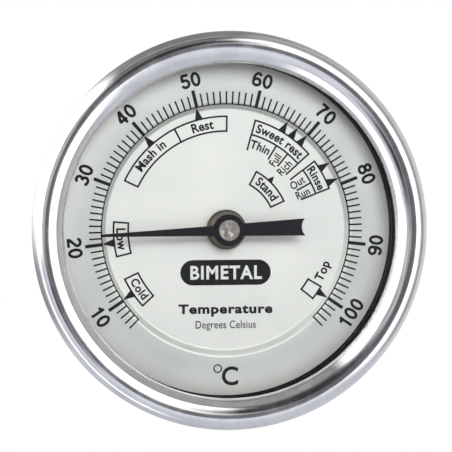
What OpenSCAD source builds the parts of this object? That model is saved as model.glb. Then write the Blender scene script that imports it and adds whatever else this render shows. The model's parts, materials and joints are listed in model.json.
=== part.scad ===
// Dial thermometer for a brew kettle: a back-connected bimetal instrument with a weldless fitting.
// Millimetres. +Z is up, the dial faces -Y and the stem points +Y.
// The origin is the centre of the face that seats on the outside of the kettle wall.
// Every sub-part is drawn standing up, with the dial side towards +Z, and to_row() lays it down.

/* [Case] */
// Outside diameter of the bezel ring
bezel_d = 84; // [82:0.5:90]
// Clear diameter inside the bezel's lip
lip_d = 70.3; // [69:0.1:71]
// Distance from the back of the case to the crown of the bezel
case_depth = 19.2; // [18:0.1:24]
// Outside diameter of the case cup behind the bezel
cup_d = 78.6; // [77.6:0.1:79]
// Thickness of the case and bezel sheet
sheet = 0.8; // [0.6:0.05:0.9]

/* [Dial and pointer] */
// Diameter of the dial plate
dial_d = 70.9; // [68:0.1:71.4]
// Diameter of the sunken floor of the dial
floor_d = 51.4; // [46:0.1:54]
// Depth of the sunken floor below the scale
floor_drop = 1.1; // [0.6:0.1:1.4]
// Lowest temperature on the scale, in degrees Celsius
scale_min = 6; // [0:1:10]
// Temperature that the pointer shows at rest
rest_temp = 21.6; // [18:0.1:24]
// Scale turn for one degree Celsius, in degrees of arc
turn_per_degree = 2.7551; // [2:0.0001:3]
// Length of the pointer from its axis to its tip
pointer_l = 27.3; // [24:0.1:30]
// Length of the pointer's tail from its axis
tail_l = 16.2; // [12:0.1:20]
// Height of the pointer above the scale
pointer_rise = 2.9; // [2.2:0.1:3.2]
// Thickness of the glass
lens_t = 2.4; // [2:0.1:3]

/* [Fitting] */
// Width across the flats of the fitting's hex
hex_af = 22.2; // [21:0.1:24]
// Length of the fitting's hex
hex_h = 7.4; // [6:0.1:10]
// Diameter of the flange that seats on the kettle wall
flange_d = 26; // [25:0.5:32]
// Diameter of the threaded shank
shank_d = 12.7; // [12.7:0.1:13]
// Length of the shank behind the flange
shank_l = 16; // [15:0.5:20]
// Thread pitch of the shank
pitch = 1.27; // [1:0.01:1.5]
// Width across the flats of the lock nut
nut_af = 19.05; // [18.5:0.05:22]
// Thickness of the lock nut
nut_h = 7.94; // [6:0.01:8]
// Space between the flange and the flat washer
grip = 3; // [2.6:0.1:3]

/* [Stem] */
// Diameter of the stem
stem_d = 6.35; // [6.2:0.05:6.4]
// Distance from the kettle wall to the stem's tip
stem_l = 54; // [54:1:150]
// Wall thickness of the stem tube
tube_t = 0.5; // [0.4:0.05:0.55]
// Diameter of the spindle that carries the pointer
spindle_d = 1.6; // [1.2:0.1:2]

/* [Hidden] */
$fn = 96;

stainless = [0.78, 0.78, 0.77];
polished = [0.88, 0.89, 0.90];
brass = [0.72, 0.60, 0.36];
rubber = [0.06, 0.06, 0.06];
dial_silver = [0.83, 0.85, 0.82];
pointer_black = [0.05, 0.05, 0.07];

running = 0.06;   // radial clearance of a shaft in its bush
nip = 0.02;       // radial gap between pieces that are pressed or brazed together
rub = 0.05;       // gap between faces that slide on each other

// fitting, from the seat upwards
flange_h = 3;
hex_top = flange_h + hex_h;
fibre_t = 0.55;
case_z = hex_top + fibre_t + rub;
boss_r = 8;
boss_top = case_z + 4.5;   // room for the spring and the clip
bore_r = 3;
gland_in_r = 7.4;
gland_out_r = 10.6;
gland_depth = 2;
o_ring_r = 1.2;
o_ring_mid_r = 9;
land_drop = 0.1;     // the ring inside the gland stands this far below the seat

// shank, from the seat downwards
spigot_l = 2;
relief_l = 0.8;
thread_depth = 0.5413 * pitch;
thread_root_r = shank_d / 2 - thread_depth;
crest_flat = pitch / 8;
root_flat = pitch / 4;
flank = (pitch - crest_flat - root_flat) / 2;
shank_chamfer = 0.9;
thread_turns = floor((shank_l - spigot_l - relief_l - shank_chamfer) / pitch);
washer_t = 1.6;
washer_d = 25.4;
nut_gap = 0.05;
nut_bore_r = shank_d / 2 + 0.05;

// retaining clip and spring on the boss
clip_z = case_z + 2.2;
clip_t = 0.9;
clip_groove_r = 7.4;
clip_out_r = 10;
clip_gap_angle = 40;

// case, measured from its back
crown_z = case_z + case_depth;
bezel_r = bezel_d / 2;
bezel_round = 3.2;
crown_r = bezel_r - bezel_round;
lip_r = lip_d / 2;
lip_break_r = lip_r + 1.75;
lip_z = crown_z - 2.55;
lip_break_z = crown_z - 0.62;
cup_r = cup_d / 2;
cup_corner = 3;
lens_top = crown_z - 3.2;
lens_z = lens_top - lens_t;
lens_r = 37.8;
gasket_r = 38.35;
gasket_in_r = 36.4;
gasket_t = 0.6;
spacer_in_r = 36;
spacer_out_r = cup_r - sheet - 0.2;
flange_z = crown_z - 8.6;
flange_r = bezel_r - 1.5;
seal_r = 1.15;

// dial and pointer
dial_z = lens_z - 4.3;
dial_t = 0.6;
floor_z = dial_z - floor_drop;
floor_r = floor_d / 2;
ramp_w = 1.2;
support_in_r = 30;
pointer_z = dial_z + pointer_rise;
blade_t = 0.3;
disc_r = 3.4;
hub_r = 4.25;
rivet_r = 2.2;
rivet_rise = 0.7;
rivet_shank_r = 1.2;
rest_turn = 45 + (rest_temp - scale_min) * turn_per_degree;   // clockwise from straight down

// stem contents, from the tip upwards
tip_z = -stem_l;
nose_h = 2.5;
tube_in_r = stem_d / 2 - tube_t;
plug_top = tip_z + nose_h + 2;
anchor_top = plug_top + 2.5;
coil_wrap_h = 2.5;
spindle_z = anchor_top - 0.3;
spindle_r = spindle_d / 2;
spindle_top = pointer_z - 1.4;
bush_z = -18.5;
bush_h = 3;
collar_z = bush_z - 4.7;
collar_h = 2.6;

// bimetal coil
coil_in_r = 2.0;
coil_t = 0.2;
coil_strip = 1.5;
coil_pitch = 2.1;
coil_bottom = anchor_top + 1.4;
coil_top = collar_z + 1.3;
coil_turns = (coil_top - coil_bottom) / coil_pitch;
coil_steps = 16;

// n + 1 points of an arc about c, from angle a0 to a1
function arc(c, r, a0, a1, n) =
    [for (i = [0:n]) let (a = a0 + (a1 - a0) * i / n) c + r * [cos(a), sin(a)]];

// unit vector at an angle clockwise from straight down, as the dial is read
function clockwise(a) = [-sin(a), -cos(a)];

module to_row() {
    rotate([90, 0, 0]) children();
}

// a ring or tube: inner radius, outer radius, bottom and top
module ring(r_in, r_out, z0, z1) {
    rotate_extrude()
        translate([r_in, z0])
            square([r_out - r_in, z1 - z0]);
}

// a hexagonal prism whose corners are turned off at the ends named
module turned_hex(across_flats, z0, z1, low_end, high_end) {
    corner_r = across_flats / 2 / cos(30);
    chamfer = corner_r - across_flats / 2 + 0.25;
    intersection() {
        translate([0, 0, z0]) cylinder(r = corner_r, h = z1 - z0, $fn = 6);
        rotate_extrude()
            polygon([
                [0, z0],
                [corner_r + 0.1 - (low_end ? chamfer : 0), z0],
                [corner_r + 0.1, z0 + (low_end ? chamfer * 0.6 : 0)],
                [corner_r + 0.1, z1 - (high_end ? chamfer * 0.6 : 0)],
                [corner_r + 0.1 - (high_end ? chamfer : 0), z1],
                [0, z1]
            ]);
    }
}

// cutter for a 45 degree countersink that opens upwards to its mouth at z = 0
module countersink(mouth_r) {
    rotate_extrude() polygon([[0, -mouth_r], [mouth_r, 0], [mouth_r, 1], [0, 1]]);
}

// ---- fitting: the body that is clamped to the kettle ----

// outline of the shank from its end up to the seat, with rings for the thread
function shank_outline() = concat(
    [[bore_r, -shank_l], [thread_root_r - 0.2, -shank_l],
     [thread_root_r, -shank_l + shank_chamfer]],
    [for (i = [thread_turns - 1:-1:0], p = ridge(-spigot_l - relief_l - i * pitch)) p],
    [[thread_root_r, -spigot_l], [shank_d / 2, -spigot_l], [shank_d / 2, land_drop]]
);

// one ridge of the thread, whose upper root is at height z
function ridge(z) = [
    [thread_root_r, z - 2 * flank - crest_flat],
    [shank_d / 2, z - flank - crest_flat],
    [shank_d / 2, z - flank],
    [thread_root_r, z]
];

module connection_fitting() {
    edge = 0.4;
    boss_chamfer = 0.5;
    groove_top = clip_z + clip_t + 0.1;
    color(stainless) to_row() union() {
        rotate_extrude()
            polygon(concat(shank_outline(), [
                [gland_in_r, land_drop],
                [gland_in_r, gland_depth],
                [gland_out_r, gland_depth],
                [gland_out_r, 0],
                [flange_d / 2 - edge, 0],
                [flange_d / 2, edge],
                [flange_d / 2, flange_h - edge],
                [flange_d / 2 - edge, flange_h],
                [boss_r, flange_h],
                [boss_r, clip_z],
                [clip_groove_r, clip_z],
                [clip_groove_r, groove_top],
                [boss_r, groove_top],
                [boss_r, boss_top - boss_chamfer],
                [boss_r - boss_chamfer, boss_top],
                [bore_r, boss_top]
            ]));
        difference() {
            turned_hex(hex_af, flange_h, hex_top, false, true);
            translate([0, 0, flange_h - 1]) cylinder(r = boss_r - 1, h = hex_h + 2);
        }
    }
}

module gland_o_ring() {
    color(rubber) to_row()
        rotate_extrude()
            translate([o_ring_mid_r, gland_depth - o_ring_r]) circle(r = o_ring_r);
}

// plain fibre washer that the case turns against
module friction_washer() {
    color([0.45, 0.30, 0.22]) to_row() ring(boss_r + 0.1, boss_r + 3, hex_top, hex_top + fibre_t);
}

// coned spring that keeps the case tight against the friction washer
module case_spring_washer() {
    inner_z = clip_z - rub;
    outer_z = case_z + sheet + rub;
    spring_t = 0.4;
    color([0.55, 0.55, 0.57]) to_row()
        rotate_extrude()
            polygon([
                [boss_r + 0.2, inner_z],
                [boss_r + 0.2, inner_z - spring_t],
                [clip_out_r + 2, outer_z],
                [clip_out_r + 2, outer_z + spring_t]
            ]);
}

module retaining_clip() {
    color([0.40, 0.40, 0.42]) to_row() difference() {
        ring(clip_groove_r + nip, clip_out_r, clip_z + rub, clip_z + clip_t);
        linear_extrude(height = 2 * crown_z)
            polygon(concat([[0, 0]], arc([0, 0], 2 * clip_out_r, -90 - clip_gap_angle / 2,
                -90 + clip_gap_angle / 2, 2)));
    }
}

module flat_washer() {
    hole_r = shank_d / 2 + 0.3;
    edge = 0.2;
    color(stainless) to_row()
        rotate_extrude()
            polygon([
                [hole_r, -grip],
                [washer_d / 2 - edge, -grip],
                [washer_d / 2, -grip - edge],
                [washer_d / 2, -grip - washer_t + edge],
                [washer_d / 2 - edge, -grip - washer_t],
                [hole_r, -grip - washer_t]
            ]);
}

module lock_nut() {
    top = -grip - washer_t - nut_gap;
    bottom = top - nut_h;
    mouth_r = nut_bore_r + 0.3;
    color(stainless) to_row() difference() {
        turned_hex(nut_af, bottom, top, true, true);
        translate([0, 0, bottom - 1]) cylinder(r = nut_bore_r, h = nut_h + 2);
        translate([0, 0, top]) countersink(mouth_r);
        translate([0, 0, bottom]) mirror([0, 0, 1]) countersink(mouth_r);
    }
}

// ---- stem and what it holds ----

module stem_tube() {
    spigot_top = -1;
    color(stainless) to_row()
        rotate_extrude()
            polygon([
                [tube_in_r, tip_z + nose_h],
                [stem_d / 2, tip_z + nose_h],
                [stem_d / 2, -shank_l],
                [bore_r - nip, -shank_l],
                [bore_r - nip, spigot_top],
                [tube_in_r, spigot_top]
            ]);
}

module stem_tip_plug() {
    nose_r = 1.4;
    color(stainless) to_row()
        rotate_extrude()
            polygon(concat(
                [[0, tip_z]],
                arc([stem_d / 2 - nose_r, tip_z + nose_r], nose_r, -90, 0, 8),
                [[stem_d / 2, tip_z + nose_h], [tube_in_r - nip, tip_z + nose_h],
                 [tube_in_r - nip, plug_top], [0, plug_top]]
            ));
}

module coil_anchor() {
    color(brass) to_row() difference() {
        union() {
            translate([0, 0, plug_top]) cylinder(r = tube_in_r - nip, h = anchor_top - plug_top);
            translate([0, 0, anchor_top - 0.5]) cylinder(r = coil_in_r - rub, h = coil_wrap_h + 0.5);
        }
        translate([0, 0, anchor_top - 0.5]) cylinder(r = spindle_r + running, h = coil_wrap_h + 1);
    }
}

// strip wound on edge into a helix: four corners at each step of the turn
module bimetal_coil() {
    steps = round(coil_turns * coil_steps);
    corners = [for (i = [0:steps])
        let (a = 360 * i / coil_steps, z = coil_bottom + (coil_top - coil_bottom) * i / steps)
        for (c = [[coil_in_r, -0.5], [coil_in_r + coil_t, -0.5], [coil_in_r + coil_t, 0.5],
                  [coil_in_r, 0.5]])
            [c[0] * cos(a), c[0] * sin(a), z + c[1] * coil_strip]];
    sides = [for (i = [0:steps - 1], k = [0:3])
        let (p = 4 * i + k, q = 4 * i + (k + 1) % 4) [p, p + 4, q + 4, q]];
    color([0.62, 0.58, 0.50]) to_row()
        polyhedron(corners, concat(
            [for (s = sides, f = [[s[0], s[1], s[2]], [s[0], s[2], s[3]]]) f],
            [[0, 1, 2], [0, 2, 3]],
            [[4 * steps + 3, 4 * steps + 2, 4 * steps + 1],
             [4 * steps + 3, 4 * steps + 1, 4 * steps]]));
}

module coil_collar() {
    color(brass) to_row()
        ring(spindle_r + nip / 2, coil_in_r - rub, collar_z, collar_z + collar_h);
}

module lower_guide_bush() {
    color([0.92, 0.92, 0.88]) to_row()
        ring(spindle_r + running, tube_in_r - nip, bush_z, bush_z + bush_h);
}

module upper_guide_bush() {
    head_r = 4.2;
    head_h = 0.6;
    body_h = 4;
    color(brass) to_row()
        rotate_extrude()
            polygon([
                [spindle_r + running, boss_top - body_h],
                [bore_r - nip, boss_top - body_h],
                [bore_r - nip, boss_top],
                [head_r, boss_top],
                [head_r, boss_top + head_h],
                [spindle_r + running, boss_top + head_h]
            ]);
}

module spindle() {
    color([0.70, 0.70, 0.72]) to_row()
        translate([0, 0, spindle_z]) cylinder(r = spindle_r, h = spindle_top - spindle_z);
}

// ---- pointer ----

module pointer_hub() {
    low = floor_z + 0.5;
    neck_z = floor_z - 1.4;
    edge = 0.15;
    edge_h = 0.7;
    neck_r = 1.7;
    shoulder_r = 3;
    color(brass) to_row()
        rotate_extrude()
            polygon([
                [spindle_r + nip / 2, neck_z],
                [neck_r, neck_z],
                [neck_r, low],
                [hub_r - edge, low],
                [hub_r, low + edge],
                [hub_r, low + edge_h],
                [shoulder_r, pointer_z],
                [rivet_shank_r + nip, pointer_z],
                [rivet_shank_r + nip, spindle_top + 0.1],
                [spindle_r + nip / 2, spindle_top + 0.1]
            ]);
}

// flat outline with the needle along +x: disc, tapered needle and a tail with a hollow end
module blade_outline() {
    needle_root = 1.18;
    needle_tip = 0.26;
    tail_root = 1.22;
    tail_end = 1.8;
    notch_r = 2.6;
    notch_depth = 0.8;
    difference() {
        union() {
            circle(r = disc_r);
            polygon([[pointer_l, needle_tip], [0, needle_root], [0, tail_root],
                [-tail_l, tail_end], [-tail_l, -tail_end], [0, -tail_root],
                [0, -needle_root], [pointer_l, -needle_tip]]);
        }
        translate([-tail_l - notch_r + notch_depth, 0]) circle(r = notch_r);
        circle(r = rivet_shank_r + nip);
    }
}

module pointer_blade() {
    heading = clockwise(rest_turn);
    color(pointer_black) to_row()
        translate([0, 0, pointer_z])
            rotate([0, 0, atan2(heading[1], heading[0])])
                linear_extrude(height = blade_t) blade_outline();
}

module pointer_rivet() {
    top = pointer_z + blade_t;
    dome_h = 0.2;
    dome_r = (rivet_r * rivet_r + dome_h * dome_h) / (2 * dome_h);
    color([0.66, 0.60, 0.57]) to_row()
        rotate_extrude()
            polygon(concat(
                [[0, spindle_top + 0.1 + nip], [rivet_shank_r, spindle_top + 0.1 + nip],
                 [rivet_shank_r, top], [rivet_r, top]],
                arc([0, top + rivet_rise - dome_r], dome_r, 90 - asin(rivet_r / dome_r), 90, 8)
            ));
}

// ---- case: turns on the fitting to set the zero ----

module case_cup() {
    in_r = cup_r - sheet;
    color(stainless) to_row()
        rotate_extrude()
            polygon(concat(
                [[boss_r + running, case_z]],
                arc([cup_r - cup_corner, case_z + cup_corner], cup_corner, -90, 0, 10),
                [[cup_r, flange_z], [flange_r, flange_z], [flange_r, flange_z + sheet],
                 [in_r, flange_z + sheet]],
                arc([cup_r - cup_corner, case_z + cup_corner], cup_corner - sheet, 0, -90, 10),
                [[boss_r + running, case_z + sheet]]
            ));
}

// outline of the bezel sheet: up the outside, over the crown, down the lip and back inside
module bezel_outline() {
    mid = [crown_r, crown_z - bezel_round];
    foot_z = flange_z - rub - sheet;
    foot_r = bezel_r - 0.5;
    foot_round = 1;
    hem_r = cup_r + 0.2;      // edge of the hem that grips the cup's flange
    lip_round = 0.35;
    roll_r = 5.2;
    polygon(concat(
        [[hem_r, foot_z]],
        arc([foot_r - foot_round, foot_z + foot_round], foot_round, -90, 0, 6),
        arc(mid, bezel_round, 0, 90, 24),
        arc([crown_r, crown_z - roll_r], roll_r, 93, 109, 5),
        [[lip_break_r, lip_break_z]],
        arc([lip_r + lip_round, lip_z + lip_round], lip_round, 150, 300, 8),
        [[lip_r + 1.1, lip_z + 0.25], [lip_break_r + 0.5, lip_break_z - sheet]],
        arc(mid, bezel_round - sheet, 90, 0, 16),
        [[foot_r - sheet, flange_z + sheet], [foot_r - sheet, flange_z - rub],
         [hem_r, flange_z - rub]]
    ));
}

module bezel_ring() {
    color(polished) to_row() rotate_extrude() bezel_outline();
}

module lens() {
    edge = 0.3;
    color([0.85, 0.93, 0.95, 0.35]) to_row()
        rotate_extrude()
            polygon([[0, lens_z], [lens_r - edge, lens_z], [lens_r, lens_z + edge],
                [lens_r, lens_top - edge], [lens_r - edge, lens_top], [0, lens_top]]);
}

// channel that wraps the edge of the glass
module lens_gasket() {
    lap_t = 0.3;
    color(rubber) to_row()
        rotate_extrude()
            polygon([
                [gasket_in_r, lens_z - gasket_t],
                [gasket_r, lens_z - gasket_t],
                [gasket_r, lens_top + lap_t],
                [gasket_in_r + 0.6, lens_top + lap_t],
                [gasket_in_r + 0.6, lens_top + nip],
                [lens_r + nip, lens_top + nip],
                [lens_r + nip, lens_z - nip],
                [gasket_in_r, lens_z - nip]
            ]);
}

module bezel_o_ring() {
    color(rubber) to_row()
        rotate_extrude()
            translate([gasket_r + 0.1 + seal_r, flange_z + sheet + nip + seal_r]) circle(r = seal_r);
}

// dark ring that holds the glass off the dial
module spacer_ring() {
    color([0.10, 0.10, 0.10]) to_row()
        ring(spacer_in_r, spacer_out_r, dial_z - dial_t + nip, lens_z - gasket_t - nip);
}

// stamped ring that carries the dial and the spacer
module dial_support_ring() {
    land_z = dial_z - dial_t;
    leg_r = spacer_out_r - 3;       // outside of the leg
    flare = 0.8;
    flare_z = case_z + sheet + 2;
    foot_z = case_z + sheet + nip;
    color(stainless) to_row()
        rotate_extrude()
            polygon([
                [support_in_r, land_z],
                [support_in_r, land_z - sheet],
                [leg_r - sheet, land_z - sheet],
                [leg_r - sheet, flare_z],
                [leg_r - sheet + flare, foot_z],
                [leg_r + flare, foot_z],
                [leg_r, flare_z],
                [leg_r, land_z - sheet],
                [spacer_out_r, land_z - sheet],
                [spacer_out_r, land_z]
            ]);
}

module dial_plate() {
    hole_r = 2.5;
    bend = 0.5;
    bend_shift = 0.35;     // the bends on the back stand this much further out
    top_r = floor_r + ramp_w;
    back = dial_z - dial_t + nip;
    color(dial_silver) to_row()
        rotate_extrude()
            polygon(concat(
                [[hole_r, floor_z - dial_t], [floor_r + bend_shift, floor_z - dial_t],
                 [top_r + bend_shift, back], [dial_d / 2, back], [dial_d / 2, dial_z],
                 [top_r + bend, dial_z]],
                arc([top_r + bend, dial_z - bend], bend, 100, 132, 4),
                [[floor_r, floor_z], [hole_r, floor_z]]
            ));
}

connection_fitting();
gland_o_ring();
stem_tube();
stem_tip_plug();
coil_anchor();
bimetal_coil();
lower_guide_bush();
upper_guide_bush();
friction_washer();
case_spring_washer();
retaining_clip();
flat_washer();
lock_nut();
case_cup();
bezel_ring();
lens();
lens_gasket();
bezel_o_ring();
spacer_ring();
dial_support_ring();
dial_plate();
pointer_blade();
pointer_hub();
pointer_rivet();
spindle();
coil_collar();
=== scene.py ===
"""Dial thermometer for a brew kettle: bezel, dial, print, pointer, case, fitting and stem.

Lengths are in millimetres until a mesh is made. A point is written (x, y, h), where h is the
height over the kettle wall towards the reader, so it lies at (x, -h, y) in the row frame.
Dial angles run clockwise from straight down.
"""

import json
import math
import random

import bmesh
import bpy
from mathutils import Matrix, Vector


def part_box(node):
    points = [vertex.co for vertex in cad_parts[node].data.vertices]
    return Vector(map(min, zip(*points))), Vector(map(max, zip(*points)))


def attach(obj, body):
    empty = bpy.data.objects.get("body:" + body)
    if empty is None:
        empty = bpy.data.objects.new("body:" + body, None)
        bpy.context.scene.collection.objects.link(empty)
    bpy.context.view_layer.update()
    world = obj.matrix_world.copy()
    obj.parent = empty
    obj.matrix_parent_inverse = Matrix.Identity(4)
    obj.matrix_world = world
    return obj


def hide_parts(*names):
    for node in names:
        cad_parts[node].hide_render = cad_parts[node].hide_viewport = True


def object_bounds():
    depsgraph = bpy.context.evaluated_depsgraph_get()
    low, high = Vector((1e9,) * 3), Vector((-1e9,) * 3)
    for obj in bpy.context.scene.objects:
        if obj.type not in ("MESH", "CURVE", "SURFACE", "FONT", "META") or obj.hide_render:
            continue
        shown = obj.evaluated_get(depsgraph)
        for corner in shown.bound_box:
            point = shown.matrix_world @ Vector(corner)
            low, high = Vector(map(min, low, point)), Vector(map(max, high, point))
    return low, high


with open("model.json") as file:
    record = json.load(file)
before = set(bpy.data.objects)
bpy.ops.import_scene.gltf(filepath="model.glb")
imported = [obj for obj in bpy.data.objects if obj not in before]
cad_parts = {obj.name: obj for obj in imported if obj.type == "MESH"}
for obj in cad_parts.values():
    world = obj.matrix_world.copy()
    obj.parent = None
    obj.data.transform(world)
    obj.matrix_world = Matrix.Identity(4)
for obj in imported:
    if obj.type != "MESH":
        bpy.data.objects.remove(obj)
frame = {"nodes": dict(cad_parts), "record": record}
cad_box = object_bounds()
scene = bpy.context.scene
MM = 0.001


def front(node):
    return -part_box(node)[0].y / MM


def back(node):
    return -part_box(node)[1].y / MM


def radius(node):
    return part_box(node)[1].x / MM


def place(x, y, h):
    return Vector((x, -h, y)) * MM


# ---------------------------------------------------------------- outlines


def arc(cx, cy, r, start, end, steps):
    """Points of an arc, angles in degrees."""
    found = []
    for i in range(steps + 1):
        a = math.radians(start + (end - start) * i / steps)
        found.append((cx + r * math.cos(a), cy + r * math.sin(a)))
    return found


def rounded(corners, steps=5):
    """A closed outline from (x, y, corner radius) points."""
    found = []
    for i, (x, y, r) in enumerate(corners):
        p = Vector((x, y))
        if not r:
            found.append((x, y))
            continue
        a = Vector(corners[i - 1][:2]) - p
        b = Vector(corners[(i + 1) % len(corners)][:2]) - p
        u, v = a.normalized(), b.normalized()
        half = u.angle(v) / 2
        d = min(r / math.tan(half), a.length * 0.49, b.length * 0.49)
        fit = d * math.tan(half)
        c = p + (u + v).normalized() * (fit / math.sin(half))
        s, e = p + u * d - c, p + v * d - c
        a0, a1 = math.atan2(s.y, s.x), math.atan2(e.y, e.x)
        turn = (a1 - a0 + math.pi) % (2 * math.pi) - math.pi
        for k in range(steps + 1):
            t = a0 + turn * k / steps
            found.append((c.x + fit * math.cos(t), c.y + fit * math.sin(t)))
    return found


def heading(turn):
    """Unit vector on the dial at an angle clockwise from straight down."""
    a = math.radians(turn)
    return Vector((-math.sin(a), -math.cos(a)))


# ---------------------------------------------------------------- meshes


def settle(bm, name, material, body, stands_for=(), sharp=32, merge=2e-6):
    """Cleans a mesh, shades it smooth between its sharp edges and puts it on its body."""
    bmesh.ops.remove_doubles(bm, verts=bm.verts, dist=merge)
    bmesh.ops.dissolve_degenerate(bm, dist=1e-7, edges=bm.edges)
    bmesh.ops.recalc_face_normals(bm, faces=bm.faces)
    limit = math.radians(sharp)
    for edge in bm.edges:
        edge.smooth = len(edge.link_faces) == 2 and edge.calc_face_angle(0) < limit
    for face in bm.faces:
        face.smooth = True
    mesh = bpy.data.meshes.new(name)
    bm.to_mesh(mesh)
    bm.free()
    mesh.materials.append(material)
    obj = bpy.data.objects.new(name, mesh)
    scene.collection.objects.link(obj)
    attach(obj, body)
    if stands_for:
        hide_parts(*stands_for)
    return obj


def columns(bm, column, count):
    """A solid from closed outlines of (radius, height) that go round the axis."""
    rows = []
    for i in range(count + 1):
        a = 2 * math.pi * i / count
        c, s = math.cos(a), math.sin(a)
        rows.append([bm.verts.new(place(r * c, r * s, h)) for r, h in column(a)])
    for low, high in zip(rows, rows[1:]):
        for k in range(len(low)):
            m = (k + 1) % len(low)
            bm.faces.new((low[k], low[m], high[m], high[k]))


def lathe(name, outline, material, body, stands_for=(), count=192, sharp=32):
    bm = bmesh.new()
    columns(bm, lambda a: outline, count)
    return settle(bm, name, material, body, stands_for, sharp)


def slab(bm, rows, top, bottom, loop=False):
    """A thin closed solid over a grid of (x, y) points; top and bottom give its heights."""
    grids = [
        [[bm.verts.new(place(x, y, h(x, y))) for x, y in row] for row in rows]
        for h in (top, bottom)
    ]
    count, width = len(rows), len(rows[0])
    last = count if loop else count - 1
    for i in range(last):
        j = (i + 1) % count
        for k in range(width - 1):
            for g in grids:
                bm.faces.new((g[i][k], g[i][k + 1], g[j][k + 1], g[j][k]))
        for k in (0, width - 1):
            a, b = grids
            bm.faces.new((a[i][k], a[j][k], b[j][k], b[i][k]))
    if not loop:
        for i in (0, count - 1):
            for k in range(width - 1):
                a, b = grids
                bm.faces.new((a[i][k], a[i][k + 1], b[i][k + 1], b[i][k]))


# ---------------------------------------------------------------- materials


class Nodes:
    """A material's node tree around one Principled shader."""

    def __init__(self, name, colour, roughness, metallic=0.0, **sockets):
        self.material = bpy.data.materials.new(name)
        self.material.use_nodes = True
        self.tree = self.material.node_tree
        self.shader = self.tree.nodes["Principled BSDF"]
        self.set("Base Color", (*colour, 1))
        self.set("Roughness", roughness)
        self.set("Metallic", metallic)
        for key, value in sockets.items():
            self.set(key.replace("_", " "), value)
        self.coord = self.tree.nodes.new("ShaderNodeTexCoord").outputs["Object"]

    def set(self, socket, value):
        self.shader.inputs[socket].default_value = value

    def node(self, kind, **inputs):
        made = self.tree.nodes.new(kind)
        for key, value in inputs.items():
            socket = made.inputs[int(key[1:])] if key[1:].isdigit() else made.inputs[key]
            if isinstance(value, bpy.types.NodeSocket):
                self.tree.links.new(value, socket)
            else:
                socket.default_value = value
        return made

    def math(self, operation, a, b=0.0):
        made = self.node("ShaderNodeMath", i0=a, i1=b)
        made.operation = operation
        return made.outputs[0]

    def scaled(self, x, y, z, source=None):
        """The position in millimetres, stretched on each axis."""
        made = self.node(
            "ShaderNodeVectorMath", i0=source or self.coord, i1=(x / MM, y / MM, z / MM)
        )
        made.operation = "MULTIPLY"
        return made.outputs[0]

    def polar(self, ring, along, around):
        """(distance from the axis, height, angle) with a scale for each."""
        parts = self.node("ShaderNodeSeparateXYZ", i0=self.coord).outputs
        flat = self.node("ShaderNodeCombineXYZ", i0=parts[0], i2=parts[2]).outputs[0]
        size = self.tree.nodes.new("ShaderNodeVectorMath")
        size.operation = "LENGTH"
        self.tree.links.new(flat, size.inputs[0])
        r = self.math("MULTIPLY", size.outputs["Value"], ring / MM)
        h = self.math("MULTIPLY", parts[1], along / MM)
        a = self.math("MULTIPLY", self.math("ARCTAN2", parts[2], parts[0]), around)
        return self.node("ShaderNodeCombineXYZ", i0=r, i1=h, i2=a).outputs[0]

    def noise(self, where, scale=1.0, detail=3.0, rough=0.5):
        made = self.node("ShaderNodeTexNoise", Vector=where)
        made.inputs["Scale"].default_value = scale
        made.inputs["Detail"].default_value = detail
        made.inputs["Roughness"].default_value = rough
        return made.outputs["Fac"]

    def spread(self, value, low, high, start=0.3, end=0.7):
        made = self.node("ShaderNodeMapRange", Value=value)
        for key, number in zip(
            ("From Min", "From Max", "To Min", "To Max"), (start, end, low, high)
        ):
            made.inputs[key].default_value = number
        return made.outputs[0]

    def tint(self, factor, one, two):
        """Mixes two colours into the base colour."""
        made = self.tree.nodes.new("ShaderNodeMix")
        made.data_type = "RGBA"
        self.tree.links.new(factor, made.inputs["Factor"])
        made.inputs["A"].default_value = (*one, 1)
        made.inputs["B"].default_value = (*two, 1)
        self.tree.links.new(made.outputs["Result"], self.shader.inputs["Base Color"])

    def rough(self, factor, low, high):
        self.tree.links.new(
            self.spread(factor, low, high), self.shader.inputs["Roughness"]
        )

    def bump(self, height, strength, depth):
        """Relief whose height is depth millimetres."""
        made = self.node("ShaderNodeBump", Height=height)
        made.inputs["Strength"].default_value = strength
        made.inputs["Distance"].default_value = depth * MM
        self.tree.links.new(made.outputs[0], self.shader.inputs["Normal"])


def turned_metal(name, colour, roughness, ring=14.0, depth=0.004, strength=0.35):
    """Metal with fine marks that run round the axis."""
    m = Nodes(name, colour, roughness, 1.0)
    marks = m.noise(m.polar(ring, ring, 0.6), 1.0, 4.0, 0.6)
    wear = m.noise(m.scaled(0.25, 0.25, 0.25), 1.0, 3.0, 0.6)
    darker = tuple(c * 0.86 for c in colour)
    m.tint(m.spread(wear, 0.0, 1.0), darker, colour)
    m.rough(marks, roughness * 0.7, roughness * 1.4)
    m.bump(marks, strength, depth)
    return m.material


def drawn_metal(name, colour, roughness):
    """Tube or bar with marks that run along the axis."""
    m = Nodes(name, colour, roughness, 1.0)
    marks = m.noise(m.polar(2.0, 0.15, 9.0), 2.0, 4.0, 0.6)
    wear = m.noise(m.scaled(0.4, 0.12, 0.4), 1.0, 3.0, 0.6)
    m.tint(m.spread(wear, 0.0, 1.0), tuple(c * 0.84 for c in colour), colour)
    m.rough(marks, roughness * 0.75, roughness * 1.35)
    m.bump(marks, 0.25, 0.006)
    return m.material


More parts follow.
